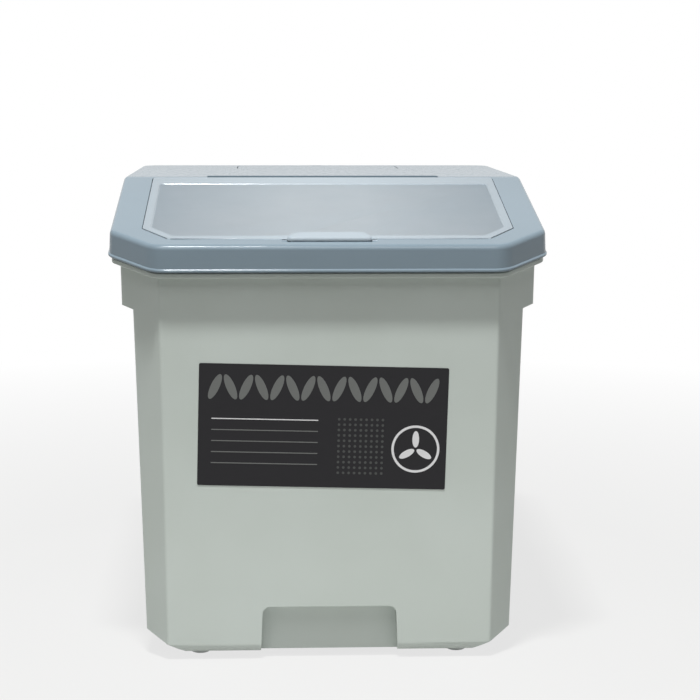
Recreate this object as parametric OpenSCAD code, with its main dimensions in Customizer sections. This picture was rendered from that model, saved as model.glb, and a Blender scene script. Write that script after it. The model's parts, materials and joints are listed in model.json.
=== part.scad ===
// Rice bin with a flip lid, in millimetres.
// The origin is on the floor under the middle of the bin. +Z is up and the front faces -Y.
// Lid and bucket share one plan outline: every wall is that outline drawn in by some inset.

/* [Overall] */
// Width over the rim of the lid
lid_w = 275; // [229:1:330]
// Depth over the rim of the lid
lid_d = 360; // [300:1:432]
// Height of the flat back part of the lid above the floor
lid_z = 297.5; // [248:0.5:357]

/* [Lid] */
// Fall of the sloping front part, in degrees
slope = 12.3; // [9:0.1:15]
// Depth of the sloping part, from the front rim to the ridge
slope_run = 160; // [134:1:192]
// Width of the cut front corners of the rim
corner_w = 29.25; // [24:0.25:35]
// Depth of the cut front corners of the rim
corner_d = 33; // [27:0.5:40]
// Thickness of the lid's top
lid_wall = 2.4; // [2:0.1:3]
// Thickness of the lid's skirt
skirt_wall = 2; // [1.6:0.1:2.6]
// Height of the skirt below the top face beside it
skirt_h = 16.3; // [14:0.1:18]
// How far the lip at the foot of the skirt stands out
lip_out = 0.8; // [0.4:0.1:1.2]
// Radius of the skirt's top edge
edge_r = 3; // [2:0.25:4]
// Half the length over which the ridge is rounded
ridge_soft = 4; // [2:0.5:6]

/* [Bucket] */
// How far the bucket's collar lies inside the rim of the lid
collar_inset = 7.6; // [6.8:0.1:9]
// How far the side walls step in under the collar, as a hand grip
grip_step = 7.5; // [6:0.25:9]
// Height of that step above the floor
grip_z = 222; // [185:1:267]
// Thickness of the bucket's walls
wall = 2.4; // [2:0.1:2.9]
// Thickness of the bucket's floor
floor_t = 2.6; // [2.2:0.1:3.2]
// Draft of the walls, in degrees
draft = 1.64; // [1.3:0.02:2]
// Height of the bead under the skirt
bead_h = 3.4; // [2.9:0.1:4.1]
// Gap between the skirt's lip and the bead
bead_gap = 0.9; // [0.7:0.1:1.3]
// How far the bead lies inside the rim of the lid
bead_inset = 2.3; // [1.5:0.1:3]
// Radius of the bottom edge
bottom_r = 6; // [5:0.5:7]
// Width of the bevel along each side of the base
bevel_w = 26.5; // [22:0.5:32]
// Height of that bevel
bevel_h = 12; // [10:0.5:14.5]

/* [Toe recess and feet] */
// Width of the toe recess at its top
toe_w = 84; // [70:1:101]
// How much wider it is at the floor
toe_flare = 3; // [2:0.5:4]
// Height of the toe recess above the floor
toe_h = 34; // [28:1:41]
// Depth of the toe recess
toe_d = 10; // [8:0.5:12]
// Radius of its top corners
toe_r = 5; // [4:0.5:6]
// Height of the feet
foot_h = 4; // [3:0.25:5]
// Radius of a foot on the floor
foot_r = 5.7; // [4.5:0.1:7]
// Radius of a foot where it meets the base
foot_top_r = 12; // [10:0.5:14]
// Distance of the feet from the middle, across
foot_x = 82; // [68:1:98]
// Distance of the feet from the front and back rim of the lid
foot_y = 34; // [31:1:41]

/* [Flap] */
// Width of the lid's frame beside the flap
frame_side = 21.5; // [20:0.5:26]
// Depth of the lid's frame in front of the flap
frame_front = 14.5; // [13:0.5:18]
// Gap between the flap's back edge and the ridge
flap_back = 4; // [3.4:0.2:4.6]
// Width of the flap's cut front corners
flap_corner_w = 17; // [14:0.5:20]
// Depth of the flap's cut front corners
flap_corner_d = 22.5; // [19:0.5:27]
// Thickness of the flap
flap_t = 1.8; // [1.5:0.1:2.2]
// How far the flap's border stands above the lid's frame
flap_proud = 0.6; // [0.5:0.1:0.8]
// How far the panel lies below the border
panel_drop = 0.6; // [0.5:0.1:0.7]
// Width of the border at the sides and the front
border = 5.8; // [5.4:0.1:7]
// Width of the border at the back
border_back = 17.5; // [16.5:0.5:21]
// Length of the finger grip
grip_w = 56; // [47:1:67]
// Depth of the finger grip
grip_d = 13.5; // [11.5:0.5:16]
// How far the grip reaches past the flap's front edge
grip_out = 4.5; // [3.8:0.25:5.4]
// How far the grip stands above the border
grip_h = 1.6; // [1.3:0.1:1.9]

/* [Hinge] */
// Length of the hinge barrel
barrel_l = 158; // [132:1:190]
// Radius of the hinge barrel
barrel_r = 3.2; // [2.7:0.1:3.6]
// Radius of the pins at its ends
pin_r = 2; // [1.7:0.1:2.4]
// Length of each pin
pin_l = 5; // [4.2:0.2:6]
// Radial clearance of the pins in their bores
pin_clear = 0.06; // [0.04:0.01:0.1]
// Distance of the hinge axis behind the ridge
axis_back = 5.4; // [5:0.1:6]
// Depth of the top of the barrel below the flat top
barrel_drop = 1; // [0.6:0.1:1.3]
// Gap between the hinge axis and the back wall of its trough
trough_back = 6.7; // [6.4:0.1:7.6]
// Thickness of the trough's walls
trough_wall = 1.8; // [1.5:0.1:2.2]
// Thickness of the trough's end walls, which hold the pins
trough_end = 7.5; // [7:0.5:9]

/* [Seals] */
// Thickness of the seal under the lid
lid_seal_t = 2.5; // [2.1:0.1:3]
// Thickness of the seal under the flap
flap_seal_t = 1.1; // [0.9:0.1:1.3]
// Width of the seal under the flap
flap_seal_w = 4; // [3.4:0.2:4.4]
// Gap between a seal and the edge that it will be pressed on
seal_gap = 0.3; // [0.2:0.05:0.4]

/* [Repellent box] */
// Width of the opening in the flat top
box_w = 116; // [97:1:139]
// Depth of the opening
box_d = 52; // [44:1:62]
// Depth of the box below the flat top
box_h = 30; // [25:1:36]
// Thickness of the box's walls
box_wall = 1.6; // [1.4:0.1:1.9]
// Width of the flange that the box hangs by
flange = 3; // [2.5:0.25:3.6]
// Distance of the opening from the back rim of the lid
box_back = 18.5; // [18:0.5:22]
// Corner radius of the opening
box_r = 6; // [5:0.5:7]
// Slots across the floor of the box, in each of two rows
slots = 9; // [7:1:10]

/* [Label] */
// Width of the label
label_w = 154.5; // [129:0.5:185]
// Height of the label
label_h = 77; // [64:0.5:92]
// Height of its middle above the floor
label_z = 149.5; // [125:0.5:179]
// Distance of its middle to the left of the middle of the bin
label_left = 4.3; // [0:0.1:6]
// How far it is stuck on askew, in degrees
label_tilt = 1.5; // [0:0.1:2]
// Thickness of the label
label_t = 0.2; // [0.1:0.05:0.3]

/* [Hidden] */

front_y = -lid_d / 2;
ridge_y = front_y + slope_run;
touch = 0.05;            // air left between two faces that rest on each other
running = 0.4;           // air round the flap in its rebate and the barrel in its trough
cover_air = 0.3;         // air round the cover in its rebate
cut = 1;                 // how far a cutter runs past the face that it opens
through = 20;            // reach of a cutter that goes right through the lid's top
overlap = 1.2;           // how far a rib reaches into the wall that carries it
round_small = 0.6;       // rounding of the bead and the rim
quarter = [0, 30, 60, 90]; // stations of a rounded edge, in degrees
arc_n = 6;               // steps in the arc of a front corner
back_arc_n = 9;          // steps in the arc of a back corner
front_r = 18;            // radius between the front and a cut corner, on the rim of the lid
side_r = 12;             // radius between a cut corner and the side, on the rim of the lid
back_r = 16;             // radius of a back corner, on the rim of the lid
least_r = 3;             // least corner radius of any wall

// Unit normal of the cut corner, and its distance from the middle of the front rim
corner_l = norm([corner_d, corner_w]);
corner_n = [corner_d / corner_l, -corner_w / corner_l];
corner_c = corner_n * [lid_w / 2, front_y + corner_d];

rim_top = -(lid_wall + touch + lid_seal_t + seal_gap);
bead_top = -(skirt_h + bead_gap);
bead_low = bead_top - bead_h;
draft_z = lid_z - slope_run * tan(slope) + bead_low;
lip_h = 1.3;             // height of the lip
lip_edge = 0.4;          // its rounding
skirt_lean = 0.4;        // how far the skirt leans in between the lip and the top edge
skirt_face = lip_out + skirt_lean;
lid_edge = skirt_face + edge_r;
plug_air = 2.8;          // gap between the tub's wall and the rib inside it
plug_in = collar_inset + wall + plug_air;
plug_t = 2;              // thickness of that rib
plug_h = 7;              // height of that rib
grip_soft = 1;           // half the height of the step over the side grips

flap_hw = lid_w / 2 - frame_side;
flap_len = (slope_run - frame_front) / cos(slope);
flap_low = flap_proud - flap_t;
flap_r = 3;              // radius of the flap's corners
grip_r = 3;              // radius of the finger grip's front corners
grip_back_r = 4;         // radius of its back corners
grip_taper = 0.44;       // narrowing of each end of the grip, as a share of its depth
grip_air = 1.5;          // room round the grip in the dip under it
scoop = 0.9;             // depth of that dip
ledge_n = flap_low - flap_seal_t - touch - seal_gap;
ledge_t = 2;             // thickness of the ledge under the flap's seal
ledge_w = 3.2;           // how far the ledge reaches in past the flap's border
window_in = border + ledge_w;
window_back = border_back + flap_back + ledge_w;
seal_in = 1.2;           // distance of the flap's seal from the flap's edge
tongue_in = 4.8;         // how far the hinge tongue reaches under the flap's back edge
trough_front = flap_back + tongue_in + running;
seal_ahead = 2;          // distance of the flap's seal from the trough
seal_back = trough_front + seal_ahead;

axis_y = ridge_y + axis_back;
axis_z = lid_z - barrel_drop - barrel_r;
barrel_room = 1.2;       // air under the barrel
trough_low = barrel_drop + 2 * barrel_r + barrel_room;
box_y = lid_d / 2 - box_back - box_d / 2;
rib_t = 1.6;             // thickness of the ribs under the flat top
rib_h = 5;               // their height
rib_n = 4;               // how many there are
rib_span = barrel_l + trough_end;
cover_t = 1.4;           // thickness of the repellent box's cover
box_flange_t = 1.2;      // thickness of the flange that the box hangs by
box_seat = cover_t + seal_gap + box_flange_t;
label_r = 1;             // corner radius of the label

// Fall of the top face, and of all that follows it, at a distance y: none behind the ridge
function fall(y) =
    y > ridge_y + ridge_soft ? 0 :
    y < ridge_y - ridge_soft ? (y - ridge_y) * tan(slope) :
    -tan(slope) * pow(ridge_y + ridge_soft - y, 2) / (4 * ridge_soft);

// Inset of the bucket's wall at a height, which grows towards the floor
function wall_inset(z) = collar_inset + tan(draft) * max(0, draft_z - z);

// Arc of radius r in the corner at p, between its neighbours a and b
function arc(a, p, b, r, n) =
    let (
        u = (a - p) / norm(a - p),
        v = (b - p) / norm(b - p),
        half = acos(u * v) / 2,
        c = p + (u + v) / norm(u + v) * r / sin(half),
        s = p + u * r / tan(half) - c,
        e = p + v * r / tan(half) - c,
        a0 = atan2(s.y, s.x),
        turn = atan2(s.x * e.y - s.y * e.x, s * e)
    )
    [for (i = [0:n]) c + r * [cos(a0 + turn * i / n), sin(a0 + turn * i / n)]];

// Right half of the plan outline, front to back, drawn in by inset, and at the sides by step more.
// The edges beside a cut corner are softer on the lid than on the walls under it.
function half_plan(inset, step) =
    let (
        hw = lid_w / 2 - inset - step,
        yf = front_y + inset,
        yb = lid_d / 2 - inset,
        c = corner_c - inset,
        a = [(c - corner_n.y * yf) / corner_n.x, yf],
        b = [hw, (c - corner_n.x * hw) / corner_n.y],
        d = [hw, yb]
    )
    concat(
        arc([0, yf], a, b, max(front_r - 2 * inset, least_r), arc_n),
        arc(a, b, d, max(side_r - 2 * inset, least_r), arc_n),
        [for (i = [-2:2]) [hw, ridge_y + ridge_soft * i / 2]],
        arc(b, d, [0, yb], max(back_r - inset, least_r), back_arc_n)
    );

// Right half of a plate's outline that lies on the slope: x across, y up the slope from the ridge
function half_plate(inset, back) =
    let (
        hw = flap_hw - inset,
        yf = -flap_len + inset,
        k = inset * (norm([flap_corner_w, flap_corner_d]) - flap_corner_w - flap_corner_d),
        cw = flap_corner_w + k / flap_corner_d,
        cd = flap_corner_d + k / flap_corner_w
    )
    concat(
        arc([0, yf], [hw - cw, yf], [hw, yf + cd], flap_r, arc_n),
        arc([hw - cw, yf], [hw, yf + cd], [hw, -back], flap_r, arc_n),
        arc([hw, yf + cd], [hw, -back], [0, -back], flap_r, arc_n)
    );

// Right half of a rectangle with rounded corners, centred on the origin
function half_rect(w, d, r) =
    concat(
        arc([0, -d / 2], [w / 2, -d / 2], [w / 2, d / 2], r, arc_n),
        arc([w / 2, -d / 2], [w / 2, d / 2], [0, d / 2], r, arc_n)
    );

// Right half of the finger grip, from its front edge back
function half_grip(inset) =
    let (
        a = [grip_w / 2 - inset, inset],
        b = [grip_w / 2 - grip_taper * grip_d - inset, grip_d - inset]
    )
    concat(
        arc([0, inset], a, b, grip_r - inset / 2, arc_n),
        arc(a, b, [0, grip_d - inset], grip_back_r - inset / 2, arc_n)
    );

function mirrored(half) = concat(half, [for (i = [len(half) - 1:-1:0]) [-half[i].x, half[i].y]]);

// One ring of points at a station: [inset, height, 1 where it follows the fall, side step]
function plan_ring(s) = [for (p = mirrored(half_plan(s[0], s[3]))) [p.x, p.y, s[1] + s[2] * fall(p.y)]];

function flat_ring(half, z) = [for (p = mirrored(half)) [p.x, p.y, z]];

// Skin through a list of rings. Its two ends are closed, or joined to each other in a loop.
module skin(rings, loop = false) {
    n = len(rings[0]);
    m = len(rings);
    last = loop ? m - 1 : m - 2;
    sides = [for (j = [0:last]) for (i = [0:n - 1]) for (t = [0:1])
        let (a = j * n, b = (j + 1) % m * n, k = (i + 1) % n)
        t == 0 ? [a + i, b + i, b + k] : [a + i, b + k, a + k]];
    low = [for (i = [0:n / 2 - 2]) for (t = [0:1])
        t == 0 ? [i, i + 1, n - 2 - i] : [i, n - 2 - i, n - 1 - i]];
    top = (m - 1) * n;
    high = [for (f = low) [top + f[0], top + f[2], top + f[1]]];
    polyhedron([for (r = rings) each r], loop ? sides : concat(sides, low, high));
}

module plan_skin(stations, loop = false) {
    skin([for (s = stations) plan_ring(s)], loop);
}

module plate(half, low, high) {
    translate([0, 0, low])
        linear_extrude(high - low)
            polygon(mirrored(half));
}

// Puts what is drawn flat onto the slope: y runs up the slope from the ridge, z stands off it
module on_slope() {
    translate([0, ridge_y, lid_z])
        rotate([slope, 0, 0])
            children();
}

module along_x(length) {
    translate([-length / 2, 0, 0])
        rotate([90, 0, 90])
            linear_extrude(length)
                children();
}

// Bevel along both sides of the base, or of the hollow above it when lifted by the wall
module base_bevels(lift) {
    edge = lid_w / 2 - wall_inset(foot_h) - grip_step;
    rise = lift / cos(atan(bevel_h / bevel_w));
    past = 0.5;
    for (side = [-1, 1])
        rotate([90, 0, 0])
            linear_extrude(lid_d, center = true)
                polygon([
                    [side * (edge - (1 + past) * bevel_w), foot_h + rise - past * bevel_h],
                    [side * (edge + bevel_w), foot_h + rise + 2 * bevel_h],
                    [side * (edge + bevel_w), foot_h + rise - past * bevel_h]
                ]);
}

// Toe recess at the front of the base, or the block that walls it off from the hollow
module toe_recess(grow) {
    top = toe_h + grow;
    hw = toe_w / 2 + grow;
    low = [hw + toe_flare / 2, -cut];
    depth = wall_inset(toe_h / 2) + toe_d + grow;
    right = concat([low], arc(low, [hw, top], [0, top], toe_r + grow, back_arc_n));
    translate([0, front_y + depth, 0])
        rotate([90, 0, 0])
            linear_extrude(depth)
                polygon(mirrored(right));
}

// Foot with a hollow flank, given as shares of its spread and its height
module foot() {
    edge = 0.4;
    flank = [[0, 0.05], [0.22, 0.3], [0.76, 0.85], [1, 1]];
    spread = foot_top_r - foot_r;
    top = foot_h + floor_t / 2;
    rotate_extrude($fn = 48)
        polygon(concat(
            [[0, 0], [foot_r - edge, 0]],
            [for (f = flank) [foot_r + f.x * spread, f.y * foot_h]],
            [[foot_top_r, top], [0, top]]
        ));
}

module bucket() {
    outer = concat(
        [for (a = quarter)
            let (z = foot_h + bottom_r * (1 - cos(a)))
            [wall_inset(z) + bottom_r * (1 - sin(a)), z, 0, grip_step]],
        [
            [wall_inset(grip_z), grip_z - grip_soft, 0, grip_step],
            [wall_inset(grip_z), grip_z + grip_soft, 0, 0],
            [collar_inset, lid_z + bead_low, 1, 0],
            [bead_inset + round_small, lid_z + bead_low, 1, 0],
            [bead_inset, lid_z + bead_low + round_small, 1, 0],
            [bead_inset, lid_z + bead_top - round_small, 1, 0],
            [bead_inset + round_small, lid_z + bead_top, 1, 0],
            [collar_inset, lid_z + bead_top + round_small / 2, 1, 0],
            [collar_inset, lid_z + rim_top - round_small, 1, 0],
            [collar_inset + round_small, lid_z + rim_top, 1, 0]
        ]
    );
    inner_r = bottom_r - wall;
    inner = concat(
        [for (a = quarter)
            let (z = foot_h + floor_t + inner_r * (1 - cos(a)))
            [wall_inset(z) + wall + inner_r * (1 - sin(a)), z, 0, grip_step]],
        [
            [wall_inset(grip_z) + wall, grip_z + wall - grip_soft, 0, grip_step],
            [wall_inset(grip_z) + wall, grip_z + wall + grip_soft, 0, 0],
            [collar_inset + wall, lid_z + bead_low, 1, 0],
            [collar_inset + wall, lid_z + rim_top - round_small, 1, 0],
            [collar_inset + wall - round_small, lid_z + rim_top, 1, 0],
            [collar_inset + wall - round_small, lid_z + cut, 1, 0]
        ]
    );
    color([0.72, 0.75, 0.71]) {
        difference() {
            plan_skin(outer);
            base_bevels(0);
            difference() {
                plan_skin(inner);
                base_bevels(wall);
                toe_recess(wall);
            }
            toe_recess(0);
        }
        for (x = [-1, 1], y = [-1, 1])
            translate([x * foot_x, y * (lid_d / 2 - foot_y), 0])
                foot();
    }
}

module lid_shell() {
    plan_skin(concat(
        [
            [lid_edge + skirt_wall, lid_z - lid_wall, 1, 0],
            [skirt_face + skirt_wall + round_small, lid_z - lid_wall - round_small, 1, 0],
            [skirt_face + skirt_wall, lid_z - lid_wall - edge_r, 1, 0],
            [lip_out + skirt_wall, lid_z - skirt_h + lip_h, 1, 0],
            [skirt_wall, lid_z - skirt_h, 1, 0],
            [lip_edge, lid_z - skirt_h, 1, 0],
            [0, lid_z - skirt_h + lip_edge, 1, 0],
            [0, lid_z - skirt_h + lip_h, 1, 0],
            [lip_out / 2, lid_z - skirt_h + lip_h + lip_edge, 1, 0],
            [lip_out, lid_z - skirt_h + lip_h + 2 * lip_edge, 1, 0]
        ],
        [for (a = quarter)
            [skirt_face + edge_r * (1 - cos(a)), lid_z - edge_r * (1 - sin(a)), 1, 0]]
    ));
}

module plug_rib() {
    low = lid_z - lid_wall - plug_h;
    plan_skin([
        [plug_in + round_small, low, 1, 0],
        [plug_in, low + round_small, 1, 0],
        [plug_in, lid_z - overlap, 1, 0],
        [plug_in + plug_t, lid_z - overlap, 1, 0],
        [plug_in + plug_t, low, 1, 0]
    ], loop = true);
}

// Thick ledge round the window that the flap's seal lands on, and the rib at its edge
module window_ledge() {
    edge_t = 1.8;
    edge_h = 9;
    on_slope() {
        plate(half_plate(-running - overlap, trough_front - overlap), ledge_n - ledge_t, -overlap);
        plate(half_plate(window_in - edge_t, window_back - edge_t), -edge_h, -overlap);
    }
}

// Closed trough under the hinge slot. Its end walls hold the pins.
module hinge_trough() {
    y0 = -trough_front * cos(slope) - trough_wall;
    y1 = axis_back + trough_back + trough_wall;
    translate([0, ridge_y, lid_z])
        along_x(barrel_l + 2 * trough_end)
            polygon([[y0, -trough_low - trough_wall], [y1, -trough_low - trough_wall], [y1, -overlap],
                [0, -overlap], [y0, y0 * tan(slope) - overlap]]);
}

module trough_pocket() {
    y0 = -trough_front * cos(slope);
    y1 = axis_back + trough_back;
    bevel = 1;
    translate([0, ridge_y, lid_z])
        along_x(barrel_l + 2 * running)
            polygon([[y0, -trough_low], [y1 - bevel, -trough_low], [y1, bevel - trough_low],
                [y1, cut], [y0, cut]]);
}

// Ribs under the flat top, from the trough to the rib inside the tub's rim
module top_ribs() {
    y0 = ridge_y + axis_back + trough_back;
    length = lid_d / 2 - plug_in - y0;
    for (i = [0:rib_n - 1])
        translate([(i / (rib_n - 1) - 0.5) * rib_span, y0 + length / 2, lid_z - lid_wall - rib_h / 2])
            cube([rib_t, length, rib_h + overlap], center = true);
}

module lid_frame() {
    rebate_w = box_w + 2 * flange;
    rebate_d = box_d + 2 * flange;
    rebate_r = box_r + flange;
    bore_l = barrel_l + 2 * (pin_l + running);
    rim = 2.5;
    dish_r = 12;
    dish_deep = 1.2;
    color([0.47, 0.53, 0.58])
    difference() {
        union() {
            lid_shell();
            plug_rib();
            window_ledge();
            hinge_trough();
            top_ribs();
            translate([0, box_y, lid_z])
                plate(
                    half_rect(rebate_w + 2 * rim, rebate_d + 2 * rim, rebate_r + rim),
                    -box_seat - lid_wall, -overlap
                );
        }
        on_slope() {
            plate(half_plate(-running, flap_back - 2 * running), ledge_n, through);
            plate(half_plate(window_in, window_back), -through, through);
            translate([0, -flap_len, 0])
                plate(half_rect(grip_w + 2 * grip_air, 2 * (grip_out + grip_air), grip_r), -scoop, through);
        }
        trough_pocket();
        translate([0, axis_y, axis_z])
            rotate([0, 90, 0])
                cylinder(h = bore_l, r = pin_r + pin_clear, center = true, $fn = 64);
        translate([0, box_y, lid_z]) {
            plate(
                half_rect(rebate_w + 2 * cover_air, rebate_d + 2 * cover_air, rebate_r),
                -box_seat, cut
            );
            plate(half_rect(box_w, box_d, box_r), -through, cut);
            translate([0, rebate_d / 2 + dish_deep, dish_r - dish_deep])
                sphere(r = dish_r, $fn = 96);
        }
    }
}

// Ring over the tub's rim. It tucks into the skirt's top edge and reaches in past the wall.
module lid_seal() {
    top = lid_z - lid_wall - touch;
    tuck = 1;
    reach = 1.2;
    outer = lid_edge + skirt_wall - tuck;
    inner = collar_inset + wall + reach;
    bevel = [1.4, 1.2];
    color([0.86, 0.87, 0.86])
        plan_skin([
            [outer + round_small, top - lid_seal_t, 1, 0],
            [outer, top - lid_seal_t + round_small, 1, 0],
            [outer, top - bevel.y, 1, 0],
            [outer + bevel.x, top, 1, 0],
            [inner, top, 1, 0],
            [inner, top - lid_seal_t + round_small, 1, 0],
            [inner - round_small, top - lid_seal_t, 1, 0]
        ], loop = true);
}

// Panel with its raised border, drawn on the slope. Its rounding is given as insets and drops.
module flap_plate() {
    panel_top = flap_proud - panel_drop;
    back = flap_back + border_back;
    step = 0.7;
    rounding = [[0, 0.6], [0.2, 0.2], [0.7, 0]];
    skin(concat(
        [
            flat_ring(half_plate(border + 2 * step, back + 2 * step), panel_top - flap_t),
            flat_ring(half_plate(border + step, back + step), flap_low),
            flat_ring(half_plate(0, flap_back), flap_low)
        ],
        [for (e = rounding) flat_ring(half_plate(e.x, flap_back + e.x), flap_proud - e.y)],
        [
            flat_ring(half_plate(border - step, back - step), flap_proud),
            flat_ring(half_plate(border, back), panel_top)
        ]
    ));
}

// Raised bar that widens to the front and reaches past the flap's edge
module finger_grip() {
    top = flap_proud + grip_h;
    low = running - scoop;
    rounding = [[0.1, 1.4], [0.5, 0.6], [1.1, 0.15], [1.8, 0]];
    translate([0, -flap_len - grip_out, 0])
        skin(concat(
            [flat_ring(half_grip(round_small), low), flat_ring(half_grip(0), low + round_small)],
            [for (e = rounding) flat_ring(half_grip(e.x), top - e.y)]
        ));
}

// Tongue between the flap's back edge and the hinge barrel, in the plane square to the axis.
// It meets the barrel at an upper and a lower angle.
module hinge_tongue() {
    y = axis_back * cos(slope) + (axis_z - lid_z) * sin(slope);
    z = -axis_back * sin(slope) + (axis_z - lid_z) * cos(slope);
    sunk = 0.3;
    r = barrel_r - sunk;
    upper = 75;
    lower = 30;
    along_x(barrel_l)
        polygon([
            [-flap_back - tongue_in, flap_low],
            [-flap_back - tongue_in, flap_proud - sunk],
            [-flap_back - 2 * sunk, flap_proud - sunk],
            [y + r * cos(upper), z + r * sin(upper)],
            [y, z],
            [y - r * cos(lower), z - r * sin(lower)]
        ]);
}

module flap() {
    color([0.78, 0.81, 0.86, 0.6]) {
        on_slope() {
            flap_plate();
            finger_grip();
            hinge_tongue();
        }
        translate([0, axis_y, axis_z])
            rotate([0, 90, 0]) {
                cylinder(h = barrel_l, r = barrel_r, center = true, $fn = 64);
                cylinder(h = barrel_l + 2 * pin_l, r = pin_r, center = true, $fn = 64);
            }
    }
}

module flap_seal() {
    high = flap_low - touch;
    low = high - flap_seal_t;
    color([0.86, 0.87, 0.86])
        on_slope()
            difference() {
                plate(half_plate(seal_in, seal_back), low, high);
                plate(half_plate(seal_in + flap_seal_w, seal_back + flap_seal_w), low - cut, high + cut);
            }
}

module repellent_box() {
    top = -box_seat + touch + box_flange_t;
    air = 0.4;
    w = box_w - 2 * air;
    d = box_d - 2 * air;
    margin = 8;
    slot_gap = 4;
    slot_w = 3;
    slot_l = d / 2 - margin;
    pitch = (w - 2 * margin) / slots;
    color([0.47, 0.53, 0.58])
        translate([0, box_y, lid_z])
            difference() {
                union() {
                    plate(
                        half_rect(w + 2 * flange, d + 2 * flange, box_r + flange - air),
                        top - box_flange_t, top
                    );
                    plate(half_rect(w, d, box_r - air), -box_h, top);
                }
                plate(
                    half_rect(w - 2 * box_wall, d - 2 * box_wall, box_r - box_wall),
                    -box_h + box_wall, top + cut
                );
                for (i = [0:slots - 1], row = [-1, 1])
                    translate([(i - (slots - 1) / 2) * pitch, row * (slot_l + slot_gap) / 2, -box_h])
                        cube([slot_w, slot_l, 3 * box_wall], center = true);
            }
}

module repellent_cover() {
    rim_air = 0.4;
    rim_t = 1.2;
    rim_h = 3;
    edge = 0.4;
    w = box_w + 2 * flange;
    d = box_d + 2 * flange;
    r = box_r + flange - cover_air;
    rim_in = box_wall + 2 * rim_air;
    rim_r = box_r - rim_in / 2;
    hollow = rim_in + rim_t;
    low = -cover_t;
    color([0.47, 0.53, 0.58])
        translate([0, box_y, lid_z])
            difference() {
                union() {
                    skin([
                        flat_ring(half_rect(w, d, r), low),
                        flat_ring(half_rect(w, d, r), -edge),
                        flat_ring(half_rect(w - 2 * edge, d - 2 * edge, r - edge), 0)
                    ]);
                    plate(half_rect(box_w - 2 * rim_in, box_d - 2 * rim_in, rim_r), low - rim_h, low / 2);
                }
                plate(
                    half_rect(box_w - 2 * hollow, box_d - 2 * hollow, rim_r - rim_t / 2),
                    low - rim_h - cut, low
                );
            }
}

module label() {
    color([0.19, 0.18, 0.2])
        translate([-label_left, front_y + wall_inset(label_z) - touch, label_z])
            rotate([90 + draft, 0, 0])
                rotate([0, 0, -label_tilt])
                    plate(half_rect(label_w, label_h, label_r), 0, label_t);
}

bucket();
lid_frame();
lid_seal();
flap();
flap_seal();
repellent_box();
repellent_cover();
label();
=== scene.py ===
import bpy
import json
from math import cos, pi, radians, sin
from mathutils import Matrix, Vector

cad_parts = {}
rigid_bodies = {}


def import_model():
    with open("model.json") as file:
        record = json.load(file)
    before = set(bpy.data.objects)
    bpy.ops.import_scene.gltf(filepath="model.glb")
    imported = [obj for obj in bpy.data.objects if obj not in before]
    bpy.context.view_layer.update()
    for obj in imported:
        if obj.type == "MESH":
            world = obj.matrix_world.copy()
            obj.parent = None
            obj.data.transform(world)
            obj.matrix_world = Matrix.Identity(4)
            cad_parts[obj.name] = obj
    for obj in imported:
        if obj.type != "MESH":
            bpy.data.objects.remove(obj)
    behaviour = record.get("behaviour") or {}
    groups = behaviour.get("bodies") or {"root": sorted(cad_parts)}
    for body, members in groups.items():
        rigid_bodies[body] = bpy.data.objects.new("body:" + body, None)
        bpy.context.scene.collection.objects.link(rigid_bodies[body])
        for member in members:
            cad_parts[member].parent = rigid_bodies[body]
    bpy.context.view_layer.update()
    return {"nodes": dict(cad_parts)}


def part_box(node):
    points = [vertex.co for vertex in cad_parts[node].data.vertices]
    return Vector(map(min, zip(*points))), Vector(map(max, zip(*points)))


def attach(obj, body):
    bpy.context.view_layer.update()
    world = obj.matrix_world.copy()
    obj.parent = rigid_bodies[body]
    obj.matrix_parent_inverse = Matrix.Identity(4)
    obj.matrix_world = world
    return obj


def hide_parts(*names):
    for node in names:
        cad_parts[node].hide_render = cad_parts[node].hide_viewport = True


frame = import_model()
MM = 0.001

# The tub is one injection moulding in polypropylene, 2.4 mm thick and drafted so that it leaves the mould.
# Its collar, hand grips, toe recess and feet are moulded in, and the mould leaves a small round on each edge.
EDGE_ROUND = 0.5 * MM
TUB_COLOUR = "#C5CDC8"
TUB_SHADE = "#BBC3BC"


def pick(piece):
    """Leaves this piece alone selected and active."""
    for other in bpy.context.view_layer.objects:
        other.select_set(False)
    piece.select_set(True)
    bpy.context.view_layer.objects.active = piece


def welded_copy(node_name, piece_name):
    """A node's own mesh with its loose triangles welded and its flat faces made whole."""
    mesh = frame["nodes"][node_name].data.copy()
    mesh.materials.clear()
    piece = bpy.data.objects.new(piece_name, mesh)
    bpy.context.scene.collection.objects.link(piece)
    pick(piece)
    bpy.ops.object.mode_set(mode="EDIT")
    bpy.ops.mesh.select_all(action="SELECT")
    bpy.ops.mesh.remove_doubles(threshold=0.002 * MM)
    bpy.ops.mesh.dissolve_limited(angle_limit=radians(0.3))
    bpy.ops.object.mode_set(mode="OBJECT")
    return piece


def round_edges(piece, width, steps=2, sharper_than=28, smooth_under=35):
    """Rounds the edges that turn more than an angle, then shades the piece smooth.
    The large flat faces stay flat."""
    pick(piece)
    bevel = piece.modifiers.new("edges", "BEVEL")
    bevel.width = width
    bevel.segments = steps
    bevel.angle_limit = radians(sharper_than)
    bevel.miter_outer = "MITER_ARC"
    bpy.ops.object.modifier_apply(modifier="edges")
    bpy.ops.object.shade_smooth_by_angle(angle=radians(smooth_under))
    weighted = piece.modifiers.new("normals", "WEIGHTED_NORMAL")
    weighted.keep_sharp = True
    bpy.ops.object.modifier_apply(modifier="normals")


def linear(hex_colour):
    """An sRGB hex colour as linear red, green, blue and alpha."""
    parts = [int(hex_colour[i:i + 2], 16) / 255 for i in (1, 3, 5)]
    return [p / 12.92 if p < 0.04045 else ((p + 0.055) / 1.055) ** 2.4 for p in parts] + [1]


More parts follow.
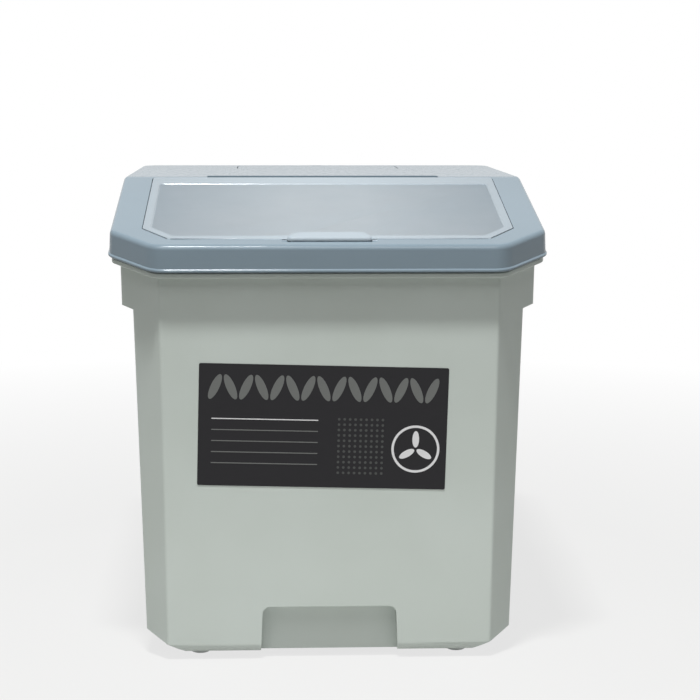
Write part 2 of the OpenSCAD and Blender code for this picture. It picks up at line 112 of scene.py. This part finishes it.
def add(tree, kind, inputs=None, **settings):
    """Adds a node with its settings. An input takes a value or another node's socket."""
    made = tree.nodes.new("ShaderNode" + kind)
    for key, value in settings.items():
        setattr(made, key, value)
    for key, value in (inputs or {}).items():
        if isinstance(value, bpy.types.NodeSocket):
            tree.links.new(value, made.inputs[key])
        else:
            made.inputs[key].default_value = value
    return made


def blank_material(name):
    """A material with an empty tree, and that tree."""
    material = bpy.data.materials.new(name)
    material.use_nodes = True
    material.node_tree.nodes.clear()
    return material, material.node_tree


def moulded_polypropylene(name, main, shade, roughness, grain, grain_depth, wave_depth):
    """Injection-moulded polypropylene: a waxy satin skin that follows the mould's texture.
    Sink and flow leave broad soft waves in the reflections, and cleaning leaves fine dull rubs."""
    flow_length = 70 * MM
    wave_length = 55 * MM
    rub_width = 3 * MM
    rub_dulling = 0.1
    material, tree = blank_material(name)
    place = add(tree, "TexCoord").outputs["Object"]
    flow = add(tree, "TexNoise", {"Vector": place, "Scale": 1 / flow_length, "Detail": 2.0})
    colour = add(tree, "Mix", {"Factor": flow.outputs["Fac"], 6: linear(main), 7: linear(shade)},
                 data_type="RGBA")
    along = add(tree, "Mapping", {"Vector": place, "Scale": (1, 1, 0.12), "Rotation": (0.3, 0.5, 0.2)})
    rubs = add(tree, "TexNoise", {"Vector": along.outputs["Vector"], "Scale": 1 / rub_width, "Detail": 4.0})
    dull = add(tree, "MapRange", {"Value": rubs.outputs["Fac"], "From Min": 0.45, "From Max": 0.8,
                                  "To Min": roughness, "To Max": roughness + rub_dulling})
    skin = add(tree, "TexNoise", {"Vector": place, "Scale": 1 / grain, "Detail": 2.0})
    wave = add(tree, "TexNoise", {"Vector": place, "Scale": 1 / wave_length, "Detail": 1.0})
    fine = add(tree, "Bump", {"Height": skin.outputs["Fac"], "Strength": 1.0, "Distance": grain_depth})
    broad = add(tree, "Bump", {"Height": wave.outputs["Fac"], "Strength": 1.0, "Distance": wave_depth,
                               "Normal": fine.outputs["Normal"]})
    shader = add(tree, "BsdfPrincipled", {
        "Base Color": colour.outputs[2], "Roughness": dull.outputs["Result"],
        "Normal": broad.outputs["Normal"], "IOR": 1.49})
    add(tree, "OutputMaterial", {"Surface": shader.outputs["BSDF"]})
    return material


tub = welded_copy("bucket", "moulded_tub")
round_edges(tub, EDGE_ROUND)
tub.data.materials.append(moulded_polypropylene(
    "tub_polypropylene", TUB_COLOUR, TUB_SHADE, roughness=0.42,
    grain=1.4 * MM, grain_depth=0.012 * MM, wave_depth=0.35 * MM))
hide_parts("bucket")
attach(tub, "tub")

# The lid is a second moulding in glossy blue-grey polypropylene. Its skirt hides the tub's rim.
# The window, the rebate for the flap and the hinge trough are all part of the one shell.
LID_COLOUR = "#73838D"
LID_SHADE = "#6C7C86"

lid = welded_copy("lid_frame", "moulded_lid")
round_edges(lid, EDGE_ROUND)
lid_plastic = moulded_polypropylene(
    "lid_polypropylene", LID_COLOUR, LID_SHADE, roughness=0.15,
    grain=6 * MM, grain_depth=0.0012 * MM, wave_depth=0.35 * MM)
lid.data.materials.append(lid_plastic)
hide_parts("lid_frame")
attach(lid, "lid")

# The flap is moulded in see-through SAN plastic. Its raised border is frosted and its inner panel clearer.
# Its barrel and stub pins are part of it and snap into the lid's trough.
SMALL_ROUND = 0.25 * MM
PANEL_SHARE = 0.8


def moulded_san(name, middle, ends, transmission, haze):
    """See-through styrene plastic: a hazy body under a polished skin, which gives soft-edged reflections.
    Its colour is painted lighter in the middle and darker towards the sides, as painted reflection and shade.
    The mould's own polish leaves broad waves."""
    cloud_length = 40 * MM
    wave_length = 60 * MM
    wave_depth = 0.4 * MM
    haze_spread = 0.05
    lit_middle_to = 25 * MM
    shaded_sides_from = 115 * MM
    material, tree = blank_material(name)
    place = add(tree, "TexCoord").outputs["Object"]
    cloud = add(tree, "TexNoise", {"Vector": place, "Scale": 1 / cloud_length, "Detail": 3.0})
    hazy = add(tree, "MapRange", {"Value": cloud.outputs["Fac"], "From Min": 0.3, "From Max": 0.7,
                                  "To Min": haze - haze_spread, "To Max": haze + haze_spread})
    wave = add(tree, "TexNoise", {"Vector": place, "Scale": 1 / wave_length, "Detail": 1.0})
    broad = add(tree, "Bump", {"Height": wave.outputs["Fac"], "Strength": 1.0, "Distance": wave_depth})
    # Painted reflection and shade: the colour runs from the lighter middle colour to the darker end colour
    # away from the middle.
    across = add(tree, "SeparateXYZ", {"Vector": place})
    off_middle = add(tree, "Math", {0: across.outputs["X"]}, operation="ABSOLUTE")
    painted_side_shade = add(tree, "MapRange", {"Value": off_middle.outputs[0],
                                     "From Min": lit_middle_to, "From Max": shaded_sides_from})
    painted_light_and_shade = add(tree, "Mix", {"Factor": painted_side_shade.outputs["Result"], 6: linear(middle), 7: linear(ends)},
               data_type="RGBA")
    shader = add(tree, "BsdfPrincipled", {
        "Base Color": painted_light_and_shade.outputs[2], "Roughness": hazy.outputs["Result"], "IOR": 1.57,
        "Transmission Weight": transmission, "Normal": broad.outputs["Normal"],
        "Coat Weight": 0.4, "Coat Roughness": 0.16, "Coat IOR": 1.5, "Coat Normal": broad.outputs["Normal"]})
    add(tree, "OutputMaterial", {"Surface": shader.outputs["BSDF"]})
    return material


flap = welded_copy("flap", "moulded_flap")
round_edges(flap, SMALL_ROUND)
# Each pair of colours is a lighter middle and darker ends: painted reflection and shade across the flap.
flap.data.materials.append(moulded_san(
    "flap_border_frosted_san", "#A3AFB7", "#94A0A8", transmission=0.25, haze=0.5))
flap.data.materials.append(moulded_san(
    "flap_panel_hazy_san", "#A8B3BA", "#82929D", transmission=0.5, haze=0.42))
largest = max(face.area for face in flap.data.polygons)
for face in flap.data.polygons:
    if face.area > PANEL_SHARE * largest:
        face.material_index = 1
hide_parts("flap")
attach(flap, "flap")

# The two seals are moulded silicone rings. One is pressed into place under the lid's top, over the tub's rim,
# and one under the flap's edge. Silicone is milky and scatters light under a dusty, dull skin.
SILICONE_COLOUR = "#DDE0DE"
DUST_SIZE = 4 * MM
SCATTER = 3 * MM

silicone, tree = blank_material("seal_silicone")
place = add(tree, "TexCoord").outputs["Object"]
dust = add(tree, "TexNoise", {"Vector": place, "Scale": 1 / DUST_SIZE, "Detail": 3.0})
dull = add(tree, "MapRange", {"Value": dust.outputs["Fac"], "To Min": 0.42, "To Max": 0.6})
shader = add(tree, "BsdfPrincipled", {
    "Base Color": linear(SILICONE_COLOUR), "Roughness": dull.outputs["Result"],
    "IOR": 1.41, "Subsurface Weight": 0.3, "Subsurface Scale": SCATTER})
add(tree, "OutputMaterial", {"Surface": shader.outputs["BSDF"]})
for node_name, piece_name, body in (
        ("lid_seal", "silicone_lid_ring", "lid"),
        ("flap_seal", "silicone_flap_ring", "flap")):
    ring = welded_copy(node_name, piece_name)
    round_edges(ring, SMALL_ROUND)
    ring.data.materials.append(silicone)
    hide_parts(node_name)
    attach(ring, body)

# The tray for the insect repellent hangs in the flat top by its flange, under a cover that lifts out.
# Both are moulded in the lid's own plastic.
for node_name, piece_name, body in (
        ("repellent_box", "repellent_tray", "lid"),
        ("repellent_cover", "repellent_lid", "cover")):
    tray = welded_copy(node_name, piece_name)
    round_edges(tray, SMALL_ROUND)
    tray.data.materials.append(lid_plastic)
    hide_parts(node_name)
    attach(tray, body)

# The label is black film, printed and stuck on slightly askew. The print is plain: a row of rice grains,
# a ruled field to write on, a field of dots and a ring. The print's own sizes are in millimetres.
LABEL_SIZE = (154.5 * MM, 77 * MM)
LABEL_MIDDLE = (-4.3 * MM, 149.5 * MM)
LABEL_ASKEW = radians(-1.5)
LABEL_CORNER = 1.0 * MM
WALL_LEAN = radians(1.64)
FILM_THICK = 0.2 * MM
INK_THICK = 0.04 * MM


def printed_film(name, colour, roughness):
    """Printed polypropylene film: smooth and half glossy, with shallow ripples where it was rubbed down."""
    ripple_length = 22 * MM
    ripple_depth = 0.2 * MM
    rub_width = 1.5 * MM
    rub_dulling = 0.12
    material, tree = blank_material(name)
    place = add(tree, "TexCoord").outputs["Object"]
    ripple = add(tree, "TexNoise", {"Vector": place, "Scale": 1 / ripple_length, "Detail": 2.0})
    along = add(tree, "Mapping", {"Vector": place, "Scale": (0.15, 1, 1), "Rotation": (0, 0.4, 0)})
    rubs = add(tree, "TexNoise", {"Vector": along.outputs["Vector"], "Scale": 1 / rub_width, "Detail": 3.0})
    dull = add(tree, "MapRange", {"Value": rubs.outputs["Fac"], "From Min": 0.4, "From Max": 0.7,
                                  "To Min": roughness, "To Max": roughness + rub_dulling})
    bump = add(tree, "Bump", {"Height": ripple.outputs["Fac"], "Strength": 1.0, "Distance": ripple_depth})
    shader = add(tree, "BsdfPrincipled", {
        "Base Color": linear(colour), "Roughness": dull.outputs["Result"], "IOR": 1.5,
        "Specular IOR Level": 0.28, "Normal": bump.outputs["Normal"]})
    add(tree, "OutputMaterial", {"Surface": shader.outputs["BSDF"]})
    return material


black_film = printed_film("label_black_film", "#1B1A1D", roughness=0.3)
grey_ink = printed_film("label_grey_ink", "#6B6D6B", roughness=0.36)
dark_ink = printed_film("label_dark_grey_ink", "#464847", roughness=0.36)
white_ink = printed_film("label_white_ink", "#DCDCDD", roughness=0.36)
ink_shapes = []


def on_label(x, y, turn, width, height):
    """Puts a shape of unit size at a place on the film, turned and stretched to its size."""
    place = Matrix.Translation((x * MM, y * MM, FILM_THICK + INK_THICK))
    return place @ Matrix.Rotation(turn, 4, "Z") @ Matrix.Diagonal((width * MM, height * MM, 1, 1))


def print_round(x, y, width, height, turn, ink, sides=24, hole=0.0):
    """Prints an oval, or with a hole a ring."""
    bpy.ops.mesh.primitive_circle_add(vertices=sides, radius=0.5, fill_type="NOTHING" if hole else "NGON")
    shape = bpy.context.object
    if hole:
        bpy.ops.object.mode_set(mode="EDIT")
        bpy.ops.mesh.extrude_edges_move()
        bpy.ops.transform.resize(value=(hole, hole, 1))
        bpy.ops.object.mode_set(mode="OBJECT")
    shape.data.transform(on_label(x, y, turn, width, height))
    shape.data.materials.append(ink)
    ink_shapes.append(shape)


def print_bar(x, y, width, height, ink):
    """Prints a straight bar."""
    bpy.ops.mesh.primitive_plane_add(size=1)
    bar = bpy.context.object
    bar.data.transform(on_label(x, y, 0, width, height))
    bar.data.materials.append(ink)
    ink_shapes.append(bar)


GRAINS = 15
GRAIN_PITCH = 9.6
GRAIN_SIZE = (5.4, 17)
GRAIN_ROW_HEIGHT = 24
GRAIN_LEAN = 24
for i in range(GRAINS):
    lean = radians(GRAIN_LEAN if i % 2 else -GRAIN_LEAN)
    print_round((i - (GRAINS - 1) / 2) * GRAIN_PITCH, GRAIN_ROW_HEIGHT, *GRAIN_SIZE, lean, grey_ink)

RULES = 5
RULE_PITCH = 7
RULE_SIZE = (66, 0.6)
RULE_MIDDLE = -36
TOP_RULE = 4
for i in range(RULES):
    print_bar(RULE_MIDDLE, TOP_RULE - i * RULE_PITCH, *RULE_SIZE, white_ink if i == 0 else grey_ink)

DOT_COLUMNS = 9
DOT_ROWS = 11
DOT_PITCH = 3.4
DOT_SIZE = (1.7, 1.7)
FIRST_DOT = (10, 5)
for column in range(DOT_COLUMNS):
    for row in range(DOT_ROWS):
        print_round(FIRST_DOT[0] + column * DOT_PITCH, FIRST_DOT[1] - row * DOT_PITCH,
                    *DOT_SIZE, 0, dark_ink, sides=10)

RING_MIDDLE = (58, -13)
RING_SIZE = (30, 30)
SPRIG_SIZE = (4.2, 10.5)
SPRIG_REACH = 6.2
print_round(*RING_MIDDLE, *RING_SIZE, 0, white_ink, sides=64, hole=0.9)
for turn in (0, 120, 240):
    angle = radians(turn + 90)
    print_round(RING_MIDDLE[0] + SPRIG_REACH * cos(angle), RING_MIDDLE[1] + SPRIG_REACH * sin(angle),
                *SPRIG_SIZE, radians(turn), white_ink)

pick(ink_shapes[0])
for shape in ink_shapes:
    shape.select_set(True)
bpy.ops.object.join()
label = bpy.context.object
label.name = "printed_label"
thick = label.modifiers.new("ink", "SOLIDIFY")
thick.thickness = INK_THICK
bpy.ops.object.modifier_apply(modifier="ink")
bpy.ops.mesh.primitive_cube_add(size=1)
film = bpy.context.object
film.data.transform(Matrix.Translation((0, 0, FILM_THICK / 2))
                    @ Matrix.Diagonal((*LABEL_SIZE, FILM_THICK, 1)))
film.data.materials.append(black_film)
corners = film.modifiers.new("corners", "BEVEL")
corners.width = LABEL_CORNER
corners.segments = 4
corners.limit_method = "WEIGHT"
weights = film.data.attributes.new("bevel_weight_edge", "FLOAT", "EDGE")
for edge in film.data.edges:
    ends = [film.data.vertices[v].co for v in edge.vertices]
    weights.data[edge.index].value = 1.0 if abs(ends[0].z - ends[1].z) > FILM_THICK / 2 else 0.0
bpy.ops.object.modifier_apply(modifier="corners")
label.select_set(True)
bpy.context.view_layer.objects.active = label
bpy.ops.object.join()
low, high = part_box("label")
wall_y = (low.y + high.y) / 2 + FILM_THICK / 2
label.data.transform(Matrix.Translation((LABEL_MIDDLE[0], wall_y, LABEL_MIDDLE[1]))
                     @ Matrix.Rotation(pi / 2 + WALL_LEAN, 4, "X") @ Matrix.Rotation(LABEL_ASKEW, 4, "Z"))
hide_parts("label")
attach(label, "tub")

# The floor is matt paper, which has no shine of its own, out to the horizon. Near the bin it keeps the soft
# shadow, and from there it fades to the white of the surround. Distances are in metres.
FLOOR_SIZE = 40
FLOOR_DROP = 0.2 * MM
PAPER_COLOUR = "#989896"
SHADE_KEPT_TO = 0.3
WHITE_FROM = 1.2
LEAST_WHITE = 0.75

bpy.ops.mesh.primitive_plane_add(size=FLOOR_SIZE, location=(0, 0, -FLOOR_DROP))
floor = bpy.context.object
floor.name = "studio_floor"
paper, tree = blank_material("floor_pale_paper")
path = add(tree, "LightPath")
seen = add(tree, "Math", {0: path.outputs["Is Camera Ray"], 1: path.outputs["Is Glossy Ray"]},
           operation="MAXIMUM")
seen = add(tree, "Math", {0: seen.outputs[0], 1: path.outputs["Is Transmission Ray"]}, operation="MAXIMUM")
away = add(tree, "VectorMath", {0: add(tree, "TexCoord").outputs["Object"]}, operation="LENGTH")
whiter = add(tree, "MapRange", {"Value": away.outputs["Value"], "From Min": SHADE_KEPT_TO,
                                "From Max": WHITE_FROM, "To Min": LEAST_WHITE, "To Max": 1.0})
share = add(tree, "Math", {0: seen.outputs[0], 1: whiter.outputs["Result"]}, operation="MULTIPLY")
matt = add(tree, "BsdfDiffuse", {"Color": linear(PAPER_COLOUR)})
white = add(tree, "Emission", {"Color": (1, 1, 1, 1), "Strength": 1.0})
mixed = add(tree, "MixShader", {0: share.outputs[0], 1: matt.outputs[0], 2: white.outputs[0]})
add(tree, "OutputMaterial", {"Surface": mixed.outputs[0]})
floor.data.materials.append(paper)

# Soft studio light: a pale surround, and a small window lamp nearly overhead, so that the lid's shade ends
# in a soft edge on the front. A wide dim lamp hangs above the camera, a low card lightens the foot of the
# front, and two dim lamps light the back and the sides. Places are in metres and power is in watts.
SURROUND_LIGHT = 0.08
SURROUND_MIRRORED = 0.75
FRONT_EDGE = (-0.03, -0.18, 0.27)
FRONT_MIDDLE = (0, -0.18, 0.15)
BIN_MIDDLE = (0, 0, 0.15)

world = bpy.data.worlds.new("studio_surround")
bpy.context.scene.world = world
world.use_nodes = True
tree = world.node_tree
tree.nodes.clear()
path = add(tree, "LightPath")
in_mirror = add(tree, "Math", {0: path.outputs["Is Glossy Ray"], 1: path.outputs["Is Transmission Ray"]},
                operation="MAXIMUM")
dimmer = add(tree, "MapRange", {"Value": in_mirror.outputs[0],
                                "To Min": SURROUND_LIGHT, "To Max": SURROUND_MIRRORED})
strength = add(tree, "Math", {0: path.outputs["Is Camera Ray"], 1: dimmer.outputs["Result"]},
               operation="MAXIMUM")
surround = add(tree, "Background", {"Color": (1, 1, 1, 1), "Strength": strength.outputs[0]})
add(tree, "OutputWorld", {"Surface": surround.outputs[0]})


def soft_box(name, place, target, width, depth, power, mirrored=True):
    """A rectangular soft box that faces a point. It can be kept out of the reflections."""
    lamp = bpy.data.lights.new(name, "AREA")
    lamp.shape = "RECTANGLE"
    lamp.size = width
    lamp.size_y = depth
    lamp.energy = power
    holder = bpy.data.objects.new(name, lamp)
    holder.visible_camera = False
    holder.visible_glossy = mirrored
    holder.location = place
    holder.rotation_euler = (Vector(target) - Vector(place)).to_track_quat("-Z", "Y").to_euler()
    bpy.context.scene.collection.objects.link(holder)


soft_box("window_overhead", (-0.1, -0.533, 1.728), FRONT_EDGE, width=0.2, depth=0.1, power=34, mirrored=False)
soft_box("window_glint", (-0.16, -0.533, 1.728), (-0.06, -0.18, 0.27), width=0.15, depth=0.1, power=5)
soft_box("high_in_front", (-0.2, -1.27, 1.83), FRONT_MIDDLE, width=1.6, depth=0.9, power=10)
soft_box("card_on_the_floor", (0, -0.34, 0.012), (0, -0.18, 0.04), width=0.5, depth=0.05, power=0.19,
         mirrored=False)
soft_box("behind_left", (-1.6, 1.2, 0.5), BIN_MIDDLE, width=1.2, depth=0.8, power=14, mirrored=False)
soft_box("behind_right", (1.6, 1.2, 0.5), BIN_MIDDLE, width=1.2, depth=0.8, power=14, mirrored=False)

# The camera stands where the photograph was taken from, a little left of the middle and just above the lid.
# Its place and turn were fitted to the bin's corners in the photograph.
PHOTO_SIDE_PX = 700
FOCAL_PX = 1900.8
SENSOR_MM = 36
CAMERA_PLACE = (-37.2 * MM, -1331.0 * MM, 356.4 * MM)
CAMERA_PAN = radians(-2.449)
CAMERA_TILT = radians(-7.787)
CAMERA_ROLL = radians(-0.101)

camera_data = bpy.data.cameras.new("camera")
camera_data.sensor_width = SENSOR_MM
camera_data.lens = SENSOR_MM * FOCAL_PX / PHOTO_SIDE_PX
camera_data.clip_start = 0.05
camera_data.clip_end = 60
camera = bpy.data.objects.new("camera", camera_data)
aim = (Matrix.Rotation(CAMERA_PAN, 4, "Z") @ Matrix.Rotation(CAMERA_TILT, 4, "X")
       @ Matrix.Rotation(CAMERA_ROLL, 4, "Y") @ Matrix.Rotation(pi / 2, 4, "X"))
camera.matrix_world = Matrix.Translation(CAMERA_PLACE) @ aim
bpy.context.scene.collection.objects.link(camera)
bpy.context.scene.camera = camera
bpy.context.scene.view_settings.view_transform = "Standard"
